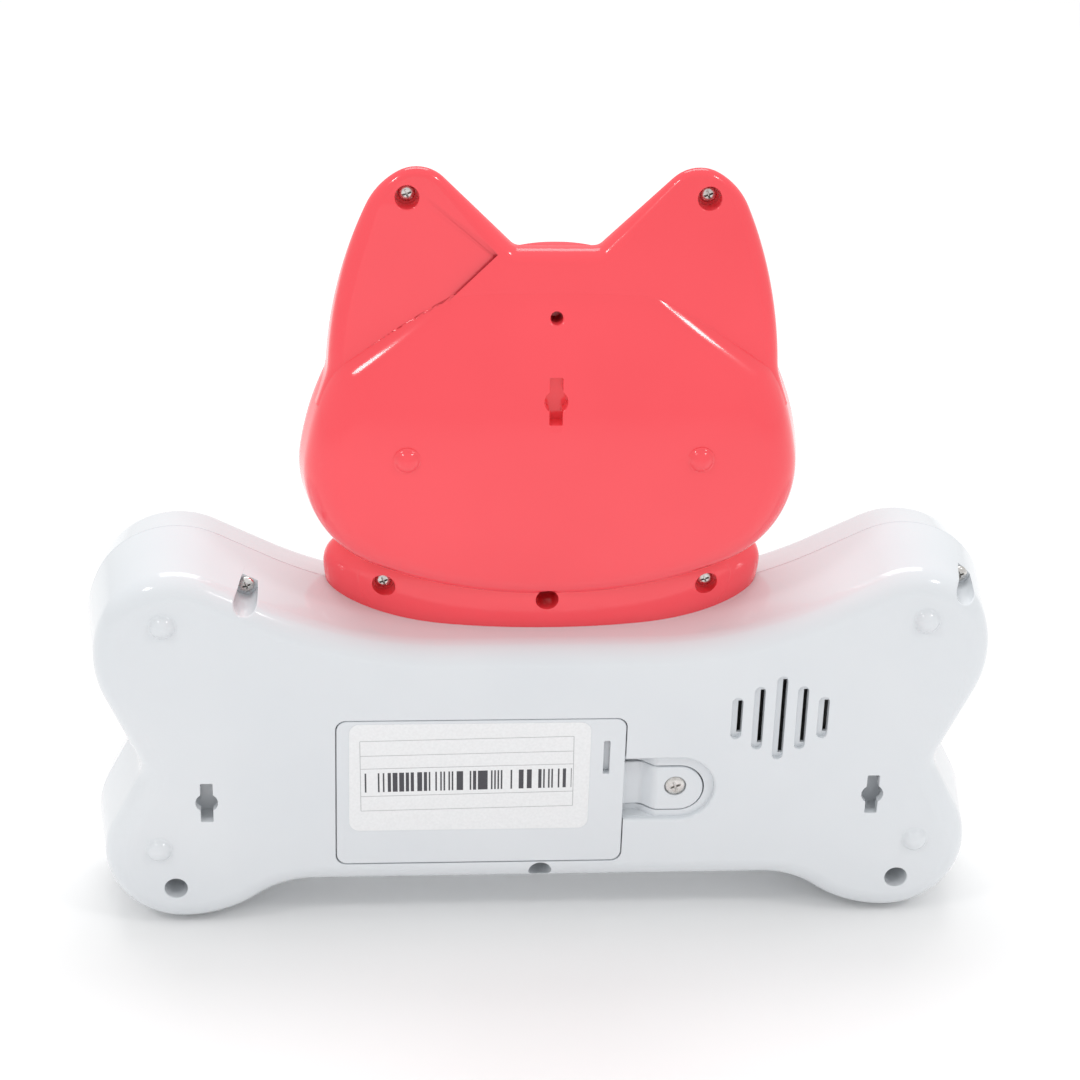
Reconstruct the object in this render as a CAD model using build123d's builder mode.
"""Electronic toy piano: a cat-shaped head on a bone-shaped keyboard body, standing on the bone's two lower lobes.

Millimetres. +Z is up, the keys and the face look along -Y, the battery door looks along +Y. The origin is the middle
of the bounding box at the base. Outlines are drawn from their middle at the bottom, up the right side and over to the
middle at the top, as tangent runs and bends, and then mirrored.
"""

import os
from math import cos, radians, sin

from build123d import *

os.makedirs("parts", exist_ok=True)

# ---- casing ----
BONE_SEAM = -3.0  # Y of the joint between the bone's two shells
BONE_BACK = 20.0
BONE_FRONT = -18.0
BONE_WALL = 2.2
BONE_BACK_DRAFT = 8.0  # degrees
BONE_FRONT_DRAFT = 6.0
BONE_BACK_ROUND = 6.0
BONE_FRONT_ROUND = 7.0
BONE_WAIST_Z = 8.8  # underside of the bone at its middle
BONE_STEPS = [
    (53.7,),
    (20.5, -36),
    (32.7, 36),
    (20.9, 117.5),
    (13.7,),
    (3.4, -51.5),
    (17.3,),
    (29.3, 49.8),
    (20.6, 90.7),
    (13.2,),
    (93.0, -26.5),
]

HEAD_SEAM = 6.0
HEAD_WALL = 2.0
HEAD_CHIN_Z = 84.3
HEAD_STEPS = [
    (100.0, 24),
    (27.5, 85.3),
    (12.7,),
    (14.0, -15.9),
    (99.5, 20.9),
    (16.8, 35.3),
    (8.4, 75),
    (21.0,),
    (2.5, -44.6),
]
DOME_STEPS = [
    (100.0, 24),
    (27.0, 74.5),
    (70.0, 17),
    (10.3, 30),
    (26.7,),
    (43.0, 34.5),
]
DOME_BACK_DEPTH = 17.0  # past the crown, which trims it
DOME_BACK_DRAFT = 10.0
DOME_BACK_ROUND = 8.0
CROWN_RADIUS = 90.0  # the back of the head is part of a wide barrel lying along X
CROWN_TOP_Y = 21.0
CROWN_HALF_LENGTH = 80.0
CROWN_Z = 118.4
EAR_BACK_Y = 10.4  # back of the ears at EAR_TILT_Z
EAR_TILT = 7.0  # degrees
EAR_TILT_Z = 165.0
EAR_BACK_ROUND = 1.3
FACE_Y = -18.0
FACE_DRAFT = 20.0
FACE_ROUND = 8.0
EAR_FRONT_DEPTH = 9.0
EAR_FRONT_DRAFT = 22.0
COLLAR_HALF_WIDTH = 51.4
COLLAR_HALF_DEPTH = 16.7
COLLAR_TOP_Z = 93.4
COLLAR_ROUND = 4.5

# ---- screw wells, as (x to the right seen from behind, z) ----
BONE_WELLS = [(-69.0, 86.9), (97.0, 88.4), (-86.7, 11.4), (86.7, 11.4), (0.0, 14.4)]
BONE_WELL_RADIUS = 2.7
BONE_WELL_FLOOR = 8.0
EAR_WELLS = [(-32.9, 180.4), (32.9, 180.4)]
COLLAR_WELLS = [(-37.5, 86.1), (37.5, 86.1)]
NECK_WELL = [(0.0, 84.8)]
HEAD_WELL_RADIUS = 2.6
HEAD_WELL_FLOOR = 4.5
HEAD_BOSS_END = 2.5
SHANK_HOLE = 1.5
PILOT_HOLE = 1.1
BOSS_RADIUS = 4.2
HEAD_BOSS_RADIUS = 3.5

# ---- wall hangers, resting nubs and vent ----
BONE_KEYHOLES = [(-78.9, 35.1), (78.9, 35.1)]
HEAD_KEYHOLE = [(0.0, 136.9)]
KEYHOLE_WIDTH = 2.9
KEYHOLE_LENGTH = 10.3
KEYHOLE_RADIUS = 2.55
NUBS_BONE = [(-87.8, 82.0), (87.8, 82.0), (-90.3, 22.3), (90.3, 22.3)]
NUBS_HEAD = [(-32.7, 123.4), (32.7, 123.4)]
NUB_SPHERE = 3.25
NUB_HEIGHT = 2.0
VENT = (0.0, 154.4)
VENT_RADIUS = 1.35

# ---- speaker ----
SPEAKER = (55.2, 56.4)
SPEAKER_RADIUS = 18.0
GRILLE_LENGTHS = [11.0, 16.8, 22.3, 16.9, 11.0]
GRILLE_PITCH = 5.1
GRILLE_WIDTH = 2.5
GRILLE_SLIT = 1.0

# ---- battery bay, seen from behind ----
DOOR_LEFT, DOOR_RIGHT = -48.6, 19.1
DOOR_LOW, DOOR_HIGH = 17.7, 56.7
DOOR_THICK = 1.8
DOOR_CORNER = 2.5
DOOR_GAP = 0.25
BAY_LEFT, BAY_RIGHT = -45.0, 14.0
BAY_LOW, BAY_HIGH = 22.2, 52.2
BAY_FLOOR = 2.4
BAY_WALL = 1.5
CELL_RADIUS = 7.15
CELL_LENGTH = 49.2
CELL_Y = 10.0
TONGUES_Z = [28.9, 45.5]
TAB_LOW, TAB_HIGH = 30.9, 42.6
TAB_END = 38.2
DOOR_SCREW = (31.6, 37.3)

# ---- keyboard, seen from the front ----
KEY_COUNT = 8
KEY_PITCH = 13.0
KEY_WIDTH = 12.4
KEY_LOW, KEY_HIGH = 19.6, 62.4
KEY_FACE_Y = -20.8
KEY_AXLE_Y, KEY_AXLE_Z = -12.0, 66.0
AXLE_RADIUS = 1.0
BOARD_Y = -6.4  # back face of the contact board
BOARD_THICK = 1.6

# ---- face ----
EYES = [(-20.0, 129.0), (20.0, 129.0)]
EYE_RADIUS = 8.0
NOSE = (0.0, 111.0)
NOSE_HALF_WIDTH, NOSE_HALF_HEIGHT = 7.5, 5.5
CHEEKS = [(-31.0, 111.0), (31.0, 111.0)]
CHEEK_RADIUS = 6.0
BUTTON_GAP = 0.35
HEAD_BOARD_Y = -7.0
SWITCH_Z = 46.0


def back_plane(y):
    """Plane at depth y that looks along +Y, with its x to the right as seen from behind."""
    return Plane(origin=(0, y, 0), x_dir=(-1, 0, 0), z_dir=(0, 1, 0))


def front_plane(y):
    """Plane at depth y that looks along -Y, with its x to the right as seen from the front."""
    return Plane(origin=(0, y, 0), x_dir=(1, 0, 0), z_dir=(0, -1, 0))


def outline(bottom_z, steps):
    """Closed symmetric face in the current sketch. A step is (length,) for a run or (radius, degrees) for a bend."""
    with BuildLine() as loop:
        point, heading = Vector(0, bottom_z), Vector(1, 0)
        for step in steps:
            if len(step) == 1:
                edge = Line(point, point + heading * step[0])
            else:
                edge = JernArc(point, heading, radius=step[0], arc_size=step[1])
            point, heading = edge @ 1, edge % 1
        if point.X > 0.01:
            Line(point, (0, point.Y))
        mirror(about=Plane.YZ)
    make_face(loop.edges())


def discs(spots, radius, y_from, y_to, mode=Mode.ADD):
    """Cylinders along Y at (x seen from behind, z) spots."""
    with BuildSketch(back_plane(y_from)) as circles:
        with Locations(*spots):
            Circle(radius)
    extrude(circles.sketch, amount=y_to - y_from, mode=mode)


def block(x_range, y_range, z_range, mode=Mode.ADD):
    """Box in the model's own axes."""
    centre = [(low + high) / 2 for low, high in (x_range, y_range, z_range)]
    size = [high - low for low, high in (x_range, y_range, z_range)]
    with Locations(Location(centre)):
        Box(*size, mode=mode)


def back_block(x_range, y_range, z_range, mode=Mode.ADD):
    """Box given as seen from behind, where x runs to the right."""
    block((-x_range[1], -x_range[0]), y_range, z_range, mode)


def nubs(spots, surface_y):
    """Domed moulded nubs that the toy rests on when it lies face up."""
    for x, z in spots:
        with Locations(Location((-x, surface_y - NUB_SPHERE + NUB_HEIGHT, z))):
            Sphere(NUB_SPHERE)


def keyholes(spots, wall_top, depth):
    """Wall hanger slots with a round middle for the screw head, cut from wall_top inwards."""
    with BuildSketch(back_plane(wall_top)) as slots:
        with Locations(*spots):
            Rectangle(KEYHOLE_WIDTH, KEYHOLE_LENGTH)
            Circle(KEYHOLE_RADIUS)
    extrude(slots.sketch, amount=-depth, mode=Mode.SUBTRACT)


def tongue_cut(x_from, x_to, z, half_height, floor_y):
    """Cut from the back down to floor_y, with a half-round end at x_to, as seen from behind."""
    with BuildSketch(back_plane(BONE_BACK)) as tongue:
        with Locations((x_to - half_height, z)):
            Circle(half_height)
        with Locations(((x_from + x_to - half_height) / 2, z)):
            Rectangle(x_to - half_height - x_from, 2 * half_height)
    extrude(tongue.sketch, amount=floor_y - BONE_BACK, mode=Mode.SUBTRACT)


def turned(points, x, z, mode=Mode.ADD):
    """Solid of revolution about a Y axis through (x, z), from (radius, y) points."""
    with BuildSketch(Plane((x, 0, z))) as profile:
        with BuildLine():
            Polyline(*points, close=True)
        make_face()
    revolve(profile.sketch, axis=Axis((x, 0, z), (0, 1, 0)), mode=mode)


def screws(spots, seat_y, tip_y, head_radius=1.9, head_height=1.3, shank_radius=1.05, point=True):
    """Cross-head screws along Y, with heads on the +Y side of seat_y."""
    discs(spots, head_radius, seat_y, seat_y + head_height)
    fillet(edges().group_by(Axis.Y)[-1], head_height * 0.45)
    discs(spots, shank_radius, tip_y, seat_y)
    if point:
        chamfer(edges().group_by(Axis.Y)[0], 0.6)
    with BuildSketch(back_plane(seat_y + head_height)) as recess:
        with Locations(*spots):
            Rectangle(0.55, head_radius * 1.25)
            Rectangle(head_radius * 1.25, 0.55)
    extrude(recess.sketch, amount=-0.9, mode=Mode.SUBTRACT)


def finish(part, name):
    """Label a piece and write it as its own file."""
    part.label = name
    export_step(part, f"parts/{name}.step")


# ======== bone-shaped body ========

with BuildPart() as bone_back_form:
    with BuildSketch(back_plane(BONE_SEAM)):
        outline(BONE_WAIST_Z, BONE_STEPS)
    extrude(amount=BONE_BACK - BONE_SEAM, taper=BONE_BACK_DRAFT)
    fillet(faces().sort_by(Axis.Y)[-1].edges(), BONE_BACK_ROUND)
    split(bisect_by=Plane.XY, keep=Keep.TOP)

with BuildPart() as bone_back_cavity:
    with BuildSketch(back_plane(BONE_SEAM)):
        outline(BONE_WAIST_Z, BONE_STEPS)
        offset(amount=-BONE_WALL, mode=Mode.REPLACE)
    extrude(amount=BONE_BACK - BONE_WALL - BONE_SEAM, taper=BONE_BACK_DRAFT)
    fillet(faces().sort_by(Axis.Y)[-1].edges(), BONE_BACK_ROUND - BONE_WALL)

with BuildPart() as bone_front_form:
    with BuildSketch(front_plane(BONE_SEAM)):
        outline(BONE_WAIST_Z, BONE_STEPS)
    extrude(amount=BONE_SEAM - BONE_FRONT, taper=BONE_FRONT_DRAFT)
    fillet(faces().sort_by(Axis.Y)[0].edges(), BONE_FRONT_ROUND)
    split(bisect_by=Plane.XY, keep=Keep.TOP)

with BuildPart() as bone_front_cavity:
    with BuildSketch(front_plane(BONE_SEAM)):
        outline(BONE_WAIST_Z, BONE_STEPS)
        offset(amount=-BONE_WALL, mode=Mode.REPLACE)
    extrude(amount=BONE_SEAM - BONE_FRONT - BONE_WALL, taper=BONE_FRONT_DRAFT)
    fillet(faces().sort_by(Axis.Y)[0].edges(), BONE_FRONT_ROUND - BONE_WALL)

# Inner fittings of the back shell, trimmed to the shell's outer form
KEYHOLE_BOX = (8.0, 13.0)
KEYHOLE_BOX_DEPTH = 5.0
KEYHOLE_SHELL = 1.1
TAB_BOX = ((16.0, 40.2), (11.5, 18.4), (29.0, 45.4))  # x seen from behind, y, z
SPEAKER_SEAT_WALL = 1.2
SPEAKER_SEAT_GAP = 0.2
SPEAKER_SEAT_END = 14.5
TAB_BOSS_RADIUS, TAB_BOSS_HOLE = 3.6, 2.1
TAB_BOSS_END = 7.0
LEDGE_MARGIN = 2.5
LEDGE_LOW, LEDGE_HIGH = 16.6, 18.0
with BuildPart() as bone_back_fittings:
    discs(BONE_WELLS, BOSS_RADIUS, BONE_SEAM, BONE_BACK)
    with BuildSketch(back_plane(BONE_BACK - BONE_WALL)):
        with Locations(*BONE_KEYHOLES):
            Rectangle(*KEYHOLE_BOX)
    extrude(amount=-KEYHOLE_BOX_DEPTH)
    seat_inner = SPEAKER_RADIUS + SPEAKER_SEAT_GAP
    discs([SPEAKER], seat_inner + SPEAKER_SEAT_WALL, SPEAKER_SEAT_END, BONE_BACK - BONE_WALL)
    discs([SPEAKER], seat_inner, SPEAKER_SEAT_END, BONE_BACK - BONE_WALL, Mode.SUBTRACT)
    back_block(
        (BAY_LEFT - BAY_WALL, BAY_RIGHT + BAY_WALL),
        (BAY_FLOOR - BAY_WALL, LEDGE_HIGH),
        (BAY_LOW - BAY_WALL, BAY_HIGH + BAY_WALL),
    )
    back_block(
        (DOOR_LEFT - LEDGE_MARGIN, DOOR_RIGHT + LEDGE_MARGIN),
        (LEDGE_LOW, LEDGE_HIGH),
        (DOOR_LOW - LEDGE_MARGIN, DOOR_HIGH + LEDGE_MARGIN),
    )
    back_block(*TAB_BOX)
    discs([DOOR_SCREW], TAB_BOSS_RADIUS, TAB_BOSS_END, TAB_BOX[1][1])
    add(bone_back_form.part, mode=Mode.INTERSECT)

TONGUE_NOTCH = 7.0
TONGUE_NOTCH_REACH = 4.0
TONGUE_NOTCH_FLOOR, TONGUE_NOTCH_TOP = 14.4, 17.8
GRILLE_DEPTH = 1.3
KEYHOLE_WINDOW = ((-6.0, -2.5), (14.2, 17.5), (-1.6, 1.6))  # from the keyhole's middle; y is absolute
TAB_BUSH_RADIUS = 3.2
TAB_BUSH_LOW, TAB_BUSH_HIGH = 12.5, 16.4
NECK_TAB = ((-14.0, 14.0), (-1.5, 2.3), (76.0, 90.0))
TAB_Z, TAB_HALF = (TAB_LOW + TAB_HIGH) / 2, (TAB_HIGH - TAB_LOW) / 2
TAB_GAP = 0.35
TAB_POCKET_FLOOR = 13.2
TAB_POCKET_START = 16.8
TAB_RECESS_FLOOR = 18.4
TAB_RECESS_Z, TAB_RECESS_HEIGHT = 37.3, 16.7
TAB_RECESS_START, TAB_RECESS_END = 17.55, 40.8
PIT_PROFILE = [(17.4, 20.5), (17.4, 15.3), (22.4, 15.3), (27.4, 18.4), (27.4, 20.5)]  # x seen from behind, y
PIT_LOW, PIT_HIGH = 29.2, 45.4
with BuildPart() as bone_back_shell:
    add(bone_back_form.part)
    add(bone_back_cavity.part, mode=Mode.SUBTRACT)
    add(bone_back_fittings.part)
    nubs(NUBS_BONE, BONE_BACK)
    # Screw wells, open to the back, with a shank hole to the seam
    discs(BONE_WELLS, BONE_WELL_RADIUS, BONE_WELL_FLOOR, BONE_BACK + 1, Mode.SUBTRACT)
    discs(BONE_WELLS, SHANK_HOLE, BONE_SEAM, BONE_WELL_FLOOR, Mode.SUBTRACT)
    # Keyholes and the closed pocket behind each, open on its outer side
    keyholes(BONE_KEYHOLES, BONE_BACK, BONE_WALL + 0.2)
    with BuildSketch(back_plane(BONE_BACK - BONE_WALL)):
        with Locations(*BONE_KEYHOLES):
            Rectangle(KEYHOLE_BOX[0] - 2 * KEYHOLE_SHELL, KEYHOLE_BOX[1] - 2 * KEYHOLE_SHELL)
    extrude(amount=-(KEYHOLE_BOX_DEPTH - KEYHOLE_SHELL), mode=Mode.SUBTRACT)
    for x, z in BONE_KEYHOLES:
        window_x, window_y, window_z = KEYHOLE_WINDOW
        back_block([x + edge for edge in window_x], window_y, [z + edge for edge in window_z], Mode.SUBTRACT)
    # Speaker grille: shallow obround channels, each with a narrower slit through its right side
    for i, length in enumerate(GRILLE_LENGTHS):
        slot_x = SPEAKER[0] + (i - 2) * GRILLE_PITCH
        with BuildSketch(back_plane(BONE_BACK)):
            with Locations((slot_x, SPEAKER[1])):
                SlotOverall(length, GRILLE_WIDTH, rotation=90)
        extrude(amount=-GRILLE_DEPTH, mode=Mode.SUBTRACT)
        with BuildSketch(back_plane(BONE_BACK)):
            with Locations((slot_x + (GRILLE_WIDTH - GRILLE_SLIT) / 2, SPEAKER[1])):
                Rectangle(GRILLE_SLIT, length - GRILLE_WIDTH)
        extrude(amount=-BONE_WALL, mode=Mode.SUBTRACT)
    # Battery bay: door opening, the bay itself, notches for the door's tongues and the tab's pocket
    with BuildSketch(back_plane(BONE_BACK)):
        with Locations(((DOOR_LEFT + DOOR_RIGHT) / 2, (DOOR_LOW + DOOR_HIGH) / 2)):
            RectangleRounded(
                DOOR_RIGHT - DOOR_LEFT + 2 * DOOR_GAP,
                DOOR_HIGH - DOOR_LOW + 2 * DOOR_GAP,
                DOOR_CORNER,
            )
    extrude(amount=-(BONE_BACK - LEDGE_HIGH), mode=Mode.SUBTRACT)
    back_block((BAY_LEFT, BAY_RIGHT), (BAY_FLOOR, BONE_BACK), (BAY_LOW, BAY_HIGH), Mode.SUBTRACT)
    for z in TONGUES_Z:
        notch_z = (z - TONGUE_NOTCH / 2, z + TONGUE_NOTCH / 2)
        under_edge = (DOOR_LEFT - TONGUE_NOTCH_REACH, BAY_LEFT)
        back_block(under_edge, (TONGUE_NOTCH_FLOOR, TONGUE_NOTCH_TOP), notch_z, Mode.SUBTRACT)
        back_block((DOOR_LEFT, BAY_LEFT), (TONGUE_NOTCH_FLOOR, LEDGE_HIGH), notch_z, Mode.SUBTRACT)
    tongue_cut(TAB_RECESS_START, TAB_RECESS_END, TAB_RECESS_Z, TAB_RECESS_HEIGHT / 2, TAB_RECESS_FLOOR)
    with BuildSketch(Plane.XY.offset(PIT_LOW)):
        with BuildLine():
            Polyline(*[(-x, y) for x, y in PIT_PROFILE], close=True)
        make_face()
    extrude(amount=PIT_HIGH - PIT_LOW, mode=Mode.SUBTRACT)
    tongue_cut(TAB_POCKET_START, TAB_END + TAB_GAP, TAB_Z, TAB_HALF + TAB_GAP, TAB_POCKET_FLOOR)
    discs([DOOR_SCREW], TAB_BUSH_RADIUS, TAB_BUSH_LOW, TAB_BUSH_HIGH)
    discs([DOOR_SCREW], TAB_BOSS_HOLE, TAB_BOSS_END + 1.5, TAB_BUSH_HIGH, Mode.SUBTRACT)
    # Neck tab that stands up into the head
    block(*NECK_TAB)
    discs(NECK_WELL, PILOT_HOLE, *NECK_TAB[1], Mode.SUBTRACT)
finish(bone_back_shell.part, "bone_back_shell")

BONE_POST_RADIUS = 3.4
KEY_OPENING = ((-52.5, 52.5), (-19.0, -14.0), (19.0, 63.0))
SWITCH_OPENING = ((74.5, 85.5), (-19.0, -14.0), (SWITCH_Z - 2.2, SWITCH_Z + 2.2))
AXLE_EAR = (53.0, 56.0)
AXLE_EAR_END = -9.5
AXLE_EAR_HALF = 2.5
BOARD_POST_HALF = 2.5
POST_ROOT = BONE_FRONT + 1
PILOT_END = -14.0
BOARD_SCREWS = [(-54.5, 24.0), (-54.5, 58.0), (54.5, 24.0), (54.5, 58.0)]
BOARD_PILOT = 0.9
with BuildPart() as bone_front_fittings:
    discs(BONE_WELLS, BONE_POST_RADIUS, POST_ROOT, BONE_SEAM)
    for side in (-1, 1):
        ear_x = sorted((side * AXLE_EAR[0], side * AXLE_EAR[1]))
        block(ear_x, (POST_ROOT, AXLE_EAR_END), (KEY_AXLE_Z - AXLE_EAR_HALF, KEY_AXLE_Z + AXLE_EAR_HALF))
    for x, z in BOARD_SCREWS:
        post_x = (x - BOARD_POST_HALF, x + BOARD_POST_HALF)
        block(post_x, (POST_ROOT, BOARD_Y - BOARD_THICK), (z - BOARD_POST_HALF, z + BOARD_POST_HALF))
    add(bone_front_form.part, mode=Mode.INTERSECT)

with BuildPart() as bone_front_shell:
    add(bone_front_form.part)
    add(bone_front_cavity.part, mode=Mode.SUBTRACT)
    add(bone_front_fittings.part)
    discs(BONE_WELLS, PILOT_HOLE, PILOT_END, BONE_SEAM, Mode.SUBTRACT)
    discs(BOARD_SCREWS, BOARD_PILOT, PILOT_END, BOARD_Y - BOARD_THICK, Mode.SUBTRACT)
    block(*KEY_OPENING, Mode.SUBTRACT)
    with BuildSketch(Plane.YZ):
        with Locations((KEY_AXLE_Y, KEY_AXLE_Z)):
            Circle(AXLE_RADIUS)
    extrude(amount=AXLE_EAR[1] + 1, both=True, mode=Mode.SUBTRACT)
    block(*SWITCH_OPENING, Mode.SUBTRACT)
finish(bone_front_shell.part, "bone_front_shell")

# ======== head ========

COLLAR_FOOT_Z = 76.0  # below the bone's upper edge, where the collar is trimmed to it
with BuildPart() as collar_form:
    with BuildSketch(Plane.XY.offset(COLLAR_FOOT_Z)):
        with Locations((0, BONE_SEAM)):
            Ellipse(COLLAR_HALF_WIDTH, COLLAR_HALF_DEPTH)
    extrude(amount=COLLAR_TOP_Z - COLLAR_FOOT_Z)
    fillet(edges().group_by(Axis.Z)[-1], COLLAR_ROUND)
    add(bone_back_form.part, mode=Mode.SUBTRACT)
    add(bone_front_form.part, mode=Mode.SUBTRACT)

with BuildPart() as crown:
    with BuildSketch(Plane.YZ):
        with Locations((CROWN_TOP_Y - CROWN_RADIUS, CROWN_Z)):
            Circle(CROWN_RADIUS)
    extrude(amount=CROWN_HALF_LENGTH, both=True)

with BuildPart() as dome_back_form:
    with BuildSketch(back_plane(HEAD_SEAM)):
        outline(HEAD_CHIN_Z, DOME_STEPS)
    extrude(amount=DOME_BACK_DEPTH, taper=DOME_BACK_DRAFT)
    add(crown.part, mode=Mode.INTERSECT)
    fillet(faces().sort_by(Axis.Y)[-1].edges(), DOME_BACK_ROUND)

# The hollow in the dome is three layers, each further in from the rim and closer to the crown
DOME_LAYERS = [(2.0, 5.5), (5.0, 3.5), (9.0, 2.0)]
dome_hollows = []
for inset, below_crown in DOME_LAYERS:
    with BuildPart() as dome_layer:
        with BuildSketch(back_plane(HEAD_SEAM)):
            outline(HEAD_CHIN_Z, DOME_STEPS)
            offset(amount=-inset, mode=Mode.REPLACE)
        extrude(amount=DOME_BACK_DEPTH, taper=DOME_BACK_DRAFT)
        add(crown.part.moved(Location((0, -below_crown, 0))), mode=Mode.INTERSECT)
    dome_hollows.append(dome_layer.part)

ear_cut = Plane(
    origin=(0, EAR_BACK_Y, EAR_TILT_Z),
    x_dir=(1, 0, 0),
    z_dir=(0, cos(radians(EAR_TILT)), sin(radians(EAR_TILT))),
)
EAR_ROOT_Z = 133.4
EAR_BACK_DEPTH = 10.0
EAR_BACK_DRAFT = 5.0
EAR_FRONT_ROUND = 2.5
with BuildPart() as ears_back_form:
    with BuildSketch(back_plane(HEAD_SEAM)):
        outline(HEAD_CHIN_Z, HEAD_STEPS)
    extrude(amount=EAR_BACK_DEPTH, taper=EAR_BACK_DRAFT)
    split(bisect_by=ear_cut, keep=Keep.BOTTOM)
    split(bisect_by=Plane.XY.offset(EAR_ROOT_Z), keep=Keep.TOP)
    rim = faces().filter_by(lambda face: face.normal_at().Y > 0.9).edges()
    fillet(rim.filter_by(lambda edge: edge.center().Z > EAR_ROOT_Z + 1), EAR_BACK_ROUND)

COLLAR_FLOOR_Z = 83.2
with BuildPart() as collar_cavity:
    with BuildSketch(Plane.XY.offset(COLLAR_FLOOR_Z)):
        with Locations((0, BONE_SEAM)):
            Ellipse(COLLAR_HALF_WIDTH - HEAD_WALL, COLLAR_HALF_DEPTH - HEAD_WALL)
    extrude(amount=COLLAR_TOP_Z - HEAD_WALL - COLLAR_FLOOR_Z)

HEAD_POCKET_TOP, HEAD_POCKET_FLOOR = 16.0, 12.4  # room for a hanging screw's head
HEAD_CLEAR_Y = 24.0  # behind the whole head
VENT_END = 8.0
ALL_HEAD_WELLS = EAR_WELLS + COLLAR_WELLS + NECK_WELL
with BuildPart() as head_back_form:
    add(collar_form.part)
    split(bisect_by=Plane.XZ.offset(-HEAD_SEAM), keep=Keep.BOTTOM)
    add(dome_back_form.part)
    add(ears_back_form.part)

with BuildPart() as head_back_bosses:
    discs(ALL_HEAD_WELLS, HEAD_BOSS_RADIUS, HEAD_SEAM, BONE_BACK)
    with BuildSketch(back_plane(HEAD_POCKET_FLOOR - KEYHOLE_SHELL)):
        with Locations(*HEAD_KEYHOLE):
            Rectangle(*KEYHOLE_BOX)
    extrude(amount=CROWN_TOP_Y - HEAD_POCKET_FLOOR)
    add(head_back_form.part, mode=Mode.INTERSECT)

with BuildPart() as head_back_shell:
    add(head_back_form.part)
    for hollow in dome_hollows:
        add(hollow, mode=Mode.SUBTRACT)
    add(collar_cavity.part, mode=Mode.SUBTRACT)
    add(head_back_bosses.part)
    discs(ALL_HEAD_WELLS, HEAD_BOSS_RADIUS, HEAD_BOSS_END, HEAD_SEAM)
    nubs(NUBS_HEAD, BONE_BACK)
    discs(ALL_HEAD_WELLS, HEAD_WELL_RADIUS, HEAD_WELL_FLOOR, HEAD_CLEAR_Y, Mode.SUBTRACT)
    discs(ALL_HEAD_WELLS, SHANK_HOLE, HEAD_BOSS_END, HEAD_WELL_FLOOR, Mode.SUBTRACT)
    discs([VENT], VENT_RADIUS, VENT_END, HEAD_CLEAR_Y, Mode.SUBTRACT)
    keyholes(HEAD_KEYHOLE, HEAD_CLEAR_Y, HEAD_CLEAR_Y - HEAD_POCKET_TOP + 0.2)
    with BuildSketch(back_plane(HEAD_POCKET_TOP)):
        with Locations(*HEAD_KEYHOLE):
            Rectangle(KEYHOLE_BOX[0] - 2 * KEYHOLE_SHELL, KEYHOLE_BOX[1] - 2 * KEYHOLE_SHELL)
    extrude(amount=HEAD_POCKET_FLOOR - HEAD_POCKET_TOP, mode=Mode.SUBTRACT)
finish(head_back_shell.part, "head_back_shell")

# ---- front half of the head ----
with BuildPart() as dome_front_form:
    with BuildSketch(front_plane(HEAD_SEAM)):
        outline(HEAD_CHIN_Z, DOME_STEPS)
    extrude(amount=HEAD_SEAM - FACE_Y, taper=FACE_DRAFT)
    fillet(faces().sort_by(Axis.Y)[0].edges(), FACE_ROUND)

with BuildPart() as ears_front_form:
    with BuildSketch(front_plane(HEAD_SEAM)):
        outline(HEAD_CHIN_Z, HEAD_STEPS)
    extrude(amount=EAR_FRONT_DEPTH, taper=EAR_FRONT_DRAFT)
    fillet(faces().sort_by(Axis.Y)[0].edges(), EAR_FRONT_ROUND)

with BuildPart() as head_front_form:
    add(collar_form.part)
    split(bisect_by=Plane.XZ.offset(-HEAD_SEAM), keep=Keep.TOP)
    add(dome_front_form.part)
    add(ears_front_form.part)
    add(bone_back_form.part, mode=Mode.SUBTRACT)
    add(bone_front_form.part, mode=Mode.SUBTRACT)

with BuildPart() as dome_front_cavity:
    with BuildSketch(front_plane(HEAD_SEAM)):
        outline(HEAD_CHIN_Z, DOME_STEPS)
        offset(amount=-HEAD_WALL, mode=Mode.REPLACE)
    extrude(amount=HEAD_SEAM - FACE_Y - HEAD_WALL, taper=FACE_DRAFT)
    fillet(faces().sort_by(Axis.Y)[0].edges(), FACE_ROUND - HEAD_WALL)

with BuildPart() as ears_front_cavity:
    with BuildSketch(front_plane(HEAD_SEAM)):
        outline(HEAD_CHIN_Z, HEAD_STEPS)
        offset(amount=-HEAD_WALL, mode=Mode.REPLACE)
    extrude(amount=EAR_FRONT_DEPTH - HEAD_WALL, taper=EAR_FRONT_DRAFT)
    split(bisect_by=Plane.XY.offset(EAR_ROOT_Z), keep=Keep.TOP)

HEAD_POST_RADIUS = 3.2
HEAD_BOSS_GAP = 0.1
EAR_PILOT_END, COLLAR_PILOT_END = -1.6, -9.0
NECK_SLOT = ((-14.4, 14.4), (-1.9, 2.7), (COLLAR_FOOT_Z - 1, 90.4))
EYE_SEAT_DEPTH, EYE_STEM_RADIUS = 0.8, 2.5
SMILE_RADIUS, SMILE_Z = 4.5, 103.5
SMILE_WIDTH, SMILE_DEPTH = 1.1, 0.7
with BuildPart() as head_front_posts:
    discs(EAR_WELLS + COLLAR_WELLS, HEAD_POST_RADIUS, FACE_Y, HEAD_BOSS_END)
    add(head_front_form.part, mode=Mode.INTERSECT)

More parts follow.
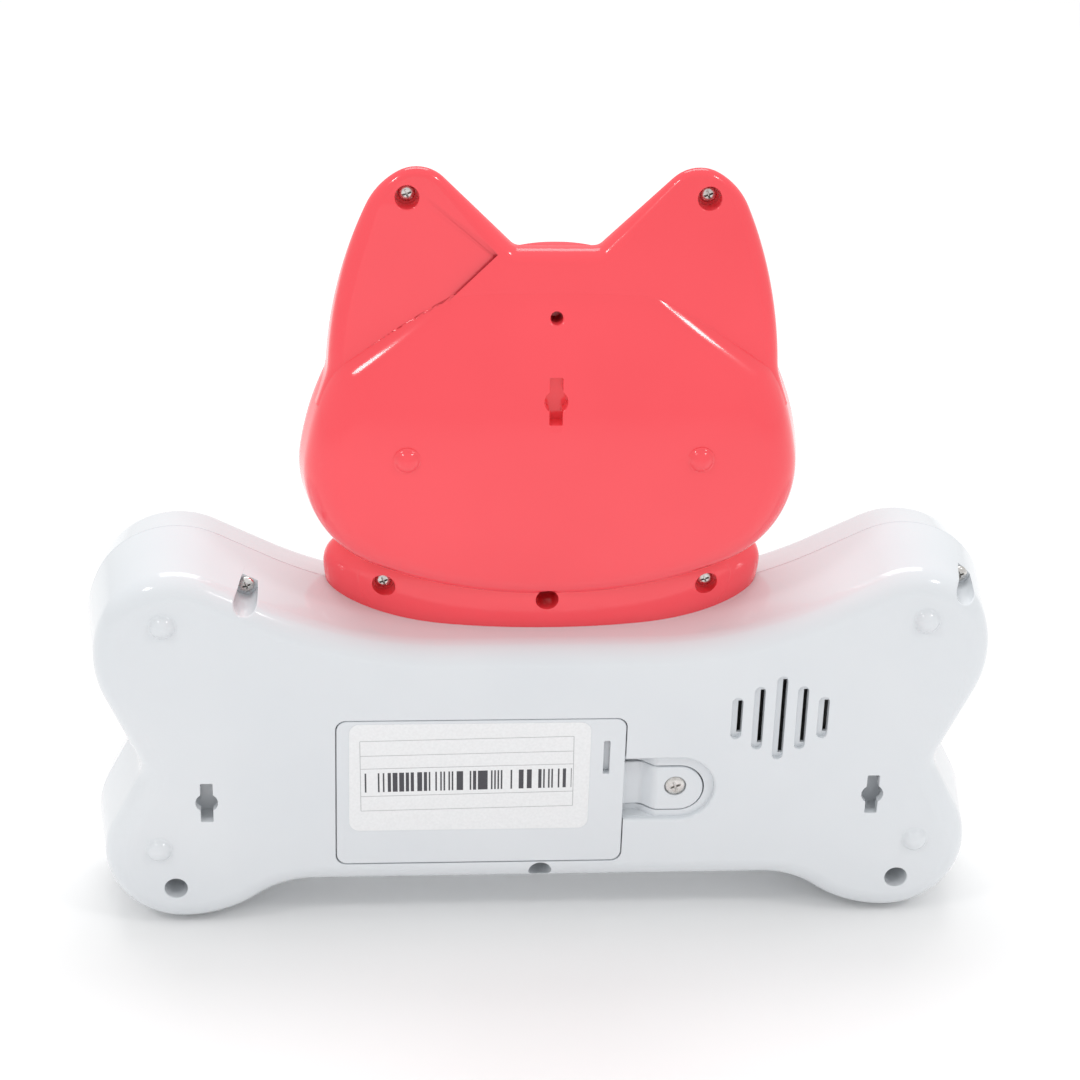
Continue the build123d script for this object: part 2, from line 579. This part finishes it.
with BuildPart() as head_front_shell:
    add(head_front_form.part)
    add(dome_front_cavity.part, mode=Mode.SUBTRACT)
    add(ears_front_cavity.part, mode=Mode.SUBTRACT)
    add(collar_cavity.part, mode=Mode.SUBTRACT)
    discs(ALL_HEAD_WELLS, HEAD_BOSS_RADIUS + HEAD_BOSS_GAP, HEAD_BOSS_END, HEAD_SEAM, Mode.SUBTRACT)
    add(head_front_posts.part)
    discs(EAR_WELLS, PILOT_HOLE, EAR_PILOT_END, HEAD_BOSS_END, Mode.SUBTRACT)
    discs(COLLAR_WELLS, PILOT_HOLE, COLLAR_PILOT_END, HEAD_BOSS_END, Mode.SUBTRACT)
    block(*NECK_SLOT, Mode.SUBTRACT)
    # Face: eye seats, openings for the nose and cheek buttons, and the mouth line
    with BuildSketch(front_plane(FACE_Y)):
        with Locations(*EYES):
            Circle(EYE_RADIUS)
    extrude(amount=-EYE_SEAT_DEPTH, mode=Mode.SUBTRACT)
    with BuildSketch(front_plane(FACE_Y)):
        with Locations(*EYES):
            Circle(EYE_STEM_RADIUS)
        with Locations(*CHEEKS):
            Circle(CHEEK_RADIUS + BUTTON_GAP)
        with Locations(NOSE):
            Ellipse(NOSE_HALF_WIDTH + BUTTON_GAP, NOSE_HALF_HEIGHT + BUTTON_GAP)
    extrude(amount=-(HEAD_WALL + 1), mode=Mode.SUBTRACT)
    with BuildSketch(front_plane(FACE_Y)):
        for side in (-1, 1):
            with BuildLine():
                smile = CenterArc((side * SMILE_RADIUS, SMILE_Z), SMILE_RADIUS, 180, 180)
            trace(smile, line_width=SMILE_WIDTH)
    extrude(amount=-SMILE_DEPTH, mode=Mode.SUBTRACT)
finish(head_front_shell.part, "head_front_shell")

# ======== battery bay ========

DOOR_UNDER = BONE_BACK - DOOR_THICK
TAB_TOP, TAB_UNDER = 18.7, 16.8
SCREW_SEAT = 17.5
TAB_SCREW_HOLE, TAB_SCREW_SEAT_RADIUS = 1.38, 2.6
DOOR_EDGE_ROUND = 0.25
DOOR_SLIT = ((14.0, 15.5), (17.0, 21.0), (41.8, 50.8))
DOOR_TONGUE_HALF = 2.5
DOOR_TONGUE_ROOT = (DOOR_LEFT + 0.2, DOOR_LEFT + 1.8)
DOOR_TONGUE_REACH = (DOOR_LEFT - 3.0, DOOR_LEFT + 1.8)
DOOR_TONGUE_Y = (15.9, 17.2)
TAB_PROFILE = [  # seen from above: x to the right from behind, y
    (17.4, DOOR_UNDER + 0.4),
    (DOOR_RIGHT, DOOR_UNDER + 0.4),
    (DOOR_RIGHT, 16.4),
    (23.0, 15.8),
    (27.2, TAB_TOP),
    (TAB_END, TAB_TOP),
    (TAB_END, TAB_UNDER),
    (28.4, TAB_UNDER),
    (24.0, 14.2),
    (17.4, 14.8),
]
with BuildPart() as battery_door:
    with BuildSketch(back_plane(DOOR_UNDER)):
        with Locations(((DOOR_LEFT + DOOR_RIGHT) / 2, (DOOR_LOW + DOOR_HIGH) / 2)):
            RectangleRounded(DOOR_RIGHT - DOOR_LEFT, DOOR_HIGH - DOOR_LOW, DOOR_CORNER)
    extrude(amount=DOOR_THICK)
    fillet(edges().group_by(Axis.Y)[-1], DOOR_EDGE_ROUND)
    back_block(*DOOR_SLIT, Mode.SUBTRACT)
    for z in TONGUES_Z:
        tongue_z = (z - DOOR_TONGUE_HALF, z + DOOR_TONGUE_HALF)
        back_block(DOOR_TONGUE_ROOT, (DOOR_TONGUE_Y[0], DOOR_UNDER), tongue_z)
        back_block(DOOR_TONGUE_REACH, DOOR_TONGUE_Y, tongue_z)
    with BuildSketch(Plane.XY.offset(TAB_LOW)):
        with BuildLine():
            Polyline(*[(-x, y) for x, y in TAB_PROFILE], close=True)
        make_face()
    extrude(amount=TAB_HIGH - TAB_LOW)
    fillet(edges().filter_by(Axis.Y).group_by(Axis.X)[0], TAB_HALF - 0.05)
    discs([DOOR_SCREW], TAB_SCREW_HOLE, TAB_POCKET_FLOOR, TAB_TOP, Mode.SUBTRACT)
    discs([DOOR_SCREW], TAB_SCREW_SEAT_RADIUS, SCREW_SEAT, TAB_TOP + 1, Mode.SUBTRACT)
finish(battery_door.part, "battery_door")

with BuildPart() as door_screw:
    screws([DOOR_SCREW], SCREW_SEAT, 12.2, head_radius=2.5, head_height=1.2, shank_radius=1.3)
finish(door_screw.part, "door_screw")

LABEL_SIZE = (56.5, 29.0)
LABEL_CENTRE = (-17.4, 41.5)
LABEL_CORNER = 2.5
LABEL_THICK = 0.12
with BuildPart() as door_label:
    with BuildSketch(back_plane(BONE_BACK)):
        with Locations(LABEL_CENTRE):
            RectangleRounded(*LABEL_SIZE, LABEL_CORNER)
    extrude(amount=LABEL_THICK)
finish(door_label.part, "door_label")

CELLS = {"battery_cell_upper": (44.7, 1), "battery_cell_lower": (29.7, -1)}
CELL_SHIFT = 3.1  # each cell stands off towards its positive contact
BAY_MIDDLE_X = 15.5
PIP_RADIUS, PIP_HEIGHT = 2.7, 1.2
CELL_EDGE_ROUND = 0.6
for cell_name, (cell_z, pole) in CELLS.items():
    middle = BAY_MIDDLE_X - pole * CELL_SHIFT
    pip_x = middle - pole * (CELL_LENGTH + PIP_HEIGHT) / 2
    with BuildPart() as battery_cell:
        with Locations(Location((middle, CELL_Y, cell_z), (0, 90, 0))):
            Cylinder(CELL_RADIUS, CELL_LENGTH)
        fillet(edges().filter_by(GeomType.CIRCLE), CELL_EDGE_ROUND)
        with Locations(Location((pip_x, CELL_Y, cell_z), (0, 90, 0))):
            Cylinder(PIP_RADIUS, PIP_HEIGHT)
    finish(battery_cell.part, cell_name)

PLATE_Y = (4.0, 13.6)
PLATE_LEFT, PLATE_RIGHT = (-13.9, -13.5), (44.5, 44.9)
with BuildPart() as battery_contacts:
    block(PLATE_LEFT, PLATE_Y, (24.5, 49.9))
    block(PLATE_RIGHT, PLATE_Y, (24.5, 34.9))
    block(PLATE_RIGHT, PLATE_Y, (39.5, 49.9))
finish(battery_contacts.part, "battery_contacts")

SPRING_WIRE = 0.51
SPRING_RINGS = 6
SPRING_RADIUS, SPRING_NARROWING = 4.4, 0.45
SPRING_START, SPRING_PITCH = 0.6, 1.05
SPRINGS = [(44.5, -1, 44.7), (-13.5, 1, 29.7)]  # foot x, direction, z
with BuildPart() as battery_springs:
    for foot_x, direction, z in SPRINGS:
        for ring in range(SPRING_RINGS):
            ring_x = foot_x + direction * (SPRING_START + ring * SPRING_PITCH)
            with Locations(Location((ring_x, CELL_Y, z), (0, 90, 0))):
                Torus(SPRING_RADIUS - SPRING_NARROWING * ring, SPRING_WIRE)
finish(battery_springs.part, "battery_springs")

# ======== keyboard ========

KEY_PROFILE = [  # y, z
    (KEY_FACE_Y, KEY_LOW),
    (KEY_FACE_Y, KEY_HIGH),
    (-15.0, KEY_HIGH),
    (-15.0, KEY_AXLE_Z),
    (-10.0, KEY_AXLE_Z),
    (-10.0, 58.0),
    (-12.0, 56.0),
    (-12.0, KEY_LOW),
]
KEY_EDGE_ROUND = 1.2
KEY_WALL, KEY_FACE_WALL = 1.4, 1.6
KEY_HOLLOW_TOP, KEY_HOLLOW_BACK = 56.0, -9.0
KEY_RIB_Y = (KEY_FACE_Y + 1.0, -12.0)
KEY_HUB_RADIUS, AXLE_GAP = 2.4, 0.06
KEYS_X = [(i - (KEY_COUNT - 1) / 2) * KEY_PITCH for i in range(KEY_COUNT)]
for i, key_x in enumerate(KEYS_X):
    with BuildPart() as key:
        with BuildSketch(Plane.YZ.offset(key_x - KEY_WIDTH / 2)):
            with BuildLine():
                Polyline(*KEY_PROFILE, close=True)
            make_face()
        extrude(amount=KEY_WIDTH)
        fillet(edges().group_by(Axis.Y)[0], KEY_EDGE_ROUND)
        block(
            (key_x - KEY_WIDTH / 2 + KEY_WALL, key_x + KEY_WIDTH / 2 - KEY_WALL),
            (KEY_FACE_Y + KEY_FACE_WALL, KEY_HOLLOW_BACK),
            (KEY_LOW + KEY_FACE_WALL, KEY_HOLLOW_TOP),
            Mode.SUBTRACT,
        )
        block((key_x - 5.2, key_x + 5.2), KEY_RIB_Y, (32.2, 33.8))
        block((key_x - 0.8, key_x + 0.8), KEY_RIB_Y, (30.0, 36.0))
        with Locations(Location((key_x, KEY_AXLE_Y, KEY_AXLE_Z), (0, 90, 0))):
            Cylinder(KEY_HUB_RADIUS, KEY_WIDTH)
            Cylinder(AXLE_RADIUS + AXLE_GAP, KEY_WIDTH, mode=Mode.SUBTRACT)
    finish(key.part, f"key_{i + 1}")

with BuildPart() as key_axle:
    with Locations(Location((0, KEY_AXLE_Y, KEY_AXLE_Z), (0, 90, 0))):
        Cylinder(AXLE_RADIUS, 2 * AXLE_EAR[1])
finish(key_axle.part, "key_axle")

BOARD_FRONT = BOARD_Y - BOARD_THICK
BOARD_HOLE = 1.2
with BuildPart() as key_board:
    block((-58.0, 58.0), (BOARD_FRONT, BOARD_Y), (21.0, 61.0))
    discs(BOARD_SCREWS, BOARD_HOLE, BOARD_FRONT, BOARD_Y, Mode.SUBTRACT)
finish(key_board.part, "key_board")

MAT_DOME = [(0, -8.5), (4.0, -8.5), (3.6, -9.6), (2.6, -10.2), (0, -10.2)]
MAT_DOMES_Z = 33.0
with BuildPart() as key_mat:
    block((-51.0, 51.0), (BOARD_FRONT - 1.0, BOARD_FRONT), (26.0, 40.0))
    for key_x in KEYS_X:
        turned(MAT_DOME, key_x, MAT_DOMES_Z)
finish(key_mat.part, "key_mat")

with BuildPart() as board_screws:
    screws(BOARD_SCREWS, BOARD_Y, -13.0, head_radius=1.8, head_height=1.1, shank_radius=0.85)
finish(board_screws.part, "board_screws")

CHIP_PROFILE = [(0, BOARD_Y), (6.5, BOARD_Y), (5.6, -5.6), (3.6, -5.0), (0, -4.8)]
CHIP = (-22.0, 44.0)
with BuildPart() as sound_chip:
    turned(CHIP_PROFILE, *CHIP)
finish(sound_chip.part, "sound_chip")

RESISTORS = [(-42, 50), (-42, 46), (-42, 42), (-36, 50), (-36, 46), (2, 50), (8, 50)]
RESISTOR_SIZE = (3.2, 0.6, 1.6)
CAPACITORS = [(-6.0, 30.0), (6.0, 30.0)]
CAPACITOR_PROFILE = [(0, BOARD_Y), (2.5, BOARD_Y), (2.5, -1.2), (2.2, -0.9), (0, -0.9)]
with BuildPart() as board_components:
    for x, z in RESISTORS:
        with Locations((x, BOARD_Y + RESISTOR_SIZE[1] / 2, z)):
            Box(*RESISTOR_SIZE)
    for x, z in CAPACITORS:
        turned(CAPACITOR_PROFILE, x, z)
finish(board_components.part, "board_components")

SWITCH_BODY = ((72.8, 87.2), (-15.8, -9.8), (42.0, 50.0))
SWITCH_CHANNEL = ((74.1, 85.9), (-16.0, -13.2), (43.4, 48.6))
KNOB = ((75.0, 80.0), (-20.4, -13.6), (SWITCH_Z - 1.8, SWITCH_Z + 1.8))
KNOB_FOOT = ((74.5, 80.5), (-15.4, -13.6), (43.8, 48.2))
KNOB_GROOVES_X = [76.2, 77.5, 78.8]
KNOB_GROOVE_WIDTH = 0.5
KNOB_GROOVE_FLOOR = -20.0
with BuildPart() as power_switch_body:
    block(*SWITCH_BODY)
    block(*SWITCH_CHANNEL, Mode.SUBTRACT)
finish(power_switch_body.part, "power_switch_body")

with BuildPart() as power_switch_knob:
    block(*KNOB)
    chamfer(edges().group_by(Axis.Y)[0], 0.4)
    for x in KNOB_GROOVES_X:
        groove_x = (x - KNOB_GROOVE_WIDTH / 2, x + KNOB_GROOVE_WIDTH / 2)
        block(groove_x, (KNOB[1][0], KNOB_GROOVE_FLOOR), KNOB[2], Mode.SUBTRACT)
    block(*KNOB_FOOT)
finish(power_switch_knob.part, "power_switch_knob")

# ======== speaker ========

SPEAKER_X, SPEAKER_Z = -SPEAKER[0], SPEAKER[1]
with BuildPart() as speaker_frame:
    turned(
        [
            (18.0, 17.6),
            (18.0, 16.6),
            (15.4, 16.6),
            (9.6, 10.6),
            (9.6, 9.8),
            (6.0, 9.8),
            (6.0, 10.6),
            (8.6, 10.8),
            (15.0, 17.6),
        ],
        SPEAKER_X,
        SPEAKER_Z,
    )
finish(speaker_frame.part, "speaker_frame")

with BuildPart() as speaker_cone:
    turned(
        [(14.2, 17.3), (13.2, 17.5), (12.2, 16.4), (5.0, 12.4), (0, 14.0), (0, 13.6), (5.0, 11.9), (12.6, 16.0)],
        SPEAKER_X,
        SPEAKER_Z,
    )
finish(speaker_cone.part, "speaker_cone")

with BuildPart() as speaker_magnet:
    discs([SPEAKER], 9.0, 4.4, 9.8)
    chamfer(edges().group_by(Axis.Y)[0], 0.5)
finish(speaker_magnet.part, "speaker_magnet")

# ======== face pieces ========

for eye_name, (x, z) in zip(("eye_right", "eye_left"), EYES):
    with BuildPart() as eye:
        turned(
            [
                (0, -15.0),
                (2.4, -15.0),
                (2.4, -17.2),
                (EYE_RADIUS - 0.05, -17.2),
                (EYE_RADIUS - 0.05, -18.2),
                (7.2, -19.0),
                (5.0, -19.7),
                (2.5, -20.1),
                (0, -20.2),
            ],
            x,
            z,
        )
    finish(eye.part, eye_name)

BUTTON_FLANGE_Y = FACE_Y + HEAD_WALL + 0.1
BUTTON_FOOT_Y = -10.6
with BuildPart() as nose_button:
    with BuildSketch(front_plane(BUTTON_FOOT_Y)):
        with Locations(NOSE):
            Ellipse(NOSE_HALF_WIDTH - 3, NOSE_HALF_HEIGHT - 2)
    extrude(amount=BUTTON_FOOT_Y + 15.0)
    with BuildSketch(front_plane(BUTTON_FLANGE_Y + 1.4)):
        with Locations(NOSE):
            Ellipse(NOSE_HALF_WIDTH + 1.5, NOSE_HALF_HEIGHT + 1.5)
    extrude(amount=1.4)
    with BuildSketch(front_plane(BUTTON_FLANGE_Y)):
        with Locations(NOSE):
            Ellipse(NOSE_HALF_WIDTH, NOSE_HALF_HEIGHT)
    extrude(amount=BUTTON_FLANGE_Y + 22.0)
    fillet(edges().group_by(Axis.Y)[0], 2.2)
finish(nose_button.part, "nose_button")

for cheek_name, (x, z) in zip(("cheek_button_right", "cheek_button_left"), CHEEKS):
    with BuildPart() as cheek:
        turned(
            [
                (0, BUTTON_FOOT_Y),
                (2.5, BUTTON_FOOT_Y),
                (2.5, BUTTON_FLANGE_Y + 1.4),
                (CHEEK_RADIUS + 1.4, BUTTON_FLANGE_Y + 1.4),
                (CHEEK_RADIUS + 1.4, BUTTON_FLANGE_Y),
                (CHEEK_RADIUS, BUTTON_FLANGE_Y),
                (CHEEK_RADIUS, -19.6),
                (5.2, -20.4),
                (3.0, -20.9),
                (0, -21.0),
            ],
            x,
            z,
        )
    finish(cheek.part, cheek_name)

HEAD_BOARD_FRONT = HEAD_BOARD_Y - BOARD_THICK
with BuildPart() as head_board:
    block((-38, 38), (HEAD_BOARD_FRONT, HEAD_BOARD_Y), (100.0, 122.0))
finish(head_board.part, "head_board")

with BuildPart() as head_mat:
    block((-36, 36), (HEAD_BOARD_FRONT - 0.5, HEAD_BOARD_FRONT), (106.0, 116.0))
    for x, z in [NOSE] + CHEEKS:
        turned([(0, -8.9), (3.0, -8.9), (2.0, -9.3), (0, -9.3)], x, z)
finish(head_mat.part, "head_mat")

with BuildPart() as face_lamps:
    for x in (-14.0, 14.0):
        turned([(0, HEAD_BOARD_FRONT), (1.5, HEAD_BOARD_FRONT), (1.5, -12.6), (1.0, -13.7), (0, -14.0)], x, 119.5)
finish(face_lamps.part, "face_lamps")

# ======== case screws ========

with BuildPart() as bone_screws:
    screws(BONE_WELLS, BONE_WELL_FLOOR, -12.0)
finish(bone_screws.part, "bone_screws")

with BuildPart() as ear_screws:
    screws(EAR_WELLS, HEAD_WELL_FLOOR, -1.0)
finish(ear_screws.part, "ear_screws")

with BuildPart() as collar_screws:
    screws(COLLAR_WELLS, HEAD_WELL_FLOOR, -7.0)
finish(collar_screws.part, "collar_screws")

with BuildPart() as neck_screw:
    screws(NECK_WELL, HEAD_WELL_FLOOR, -2.2)
finish(neck_screw.part, "neck_screw")
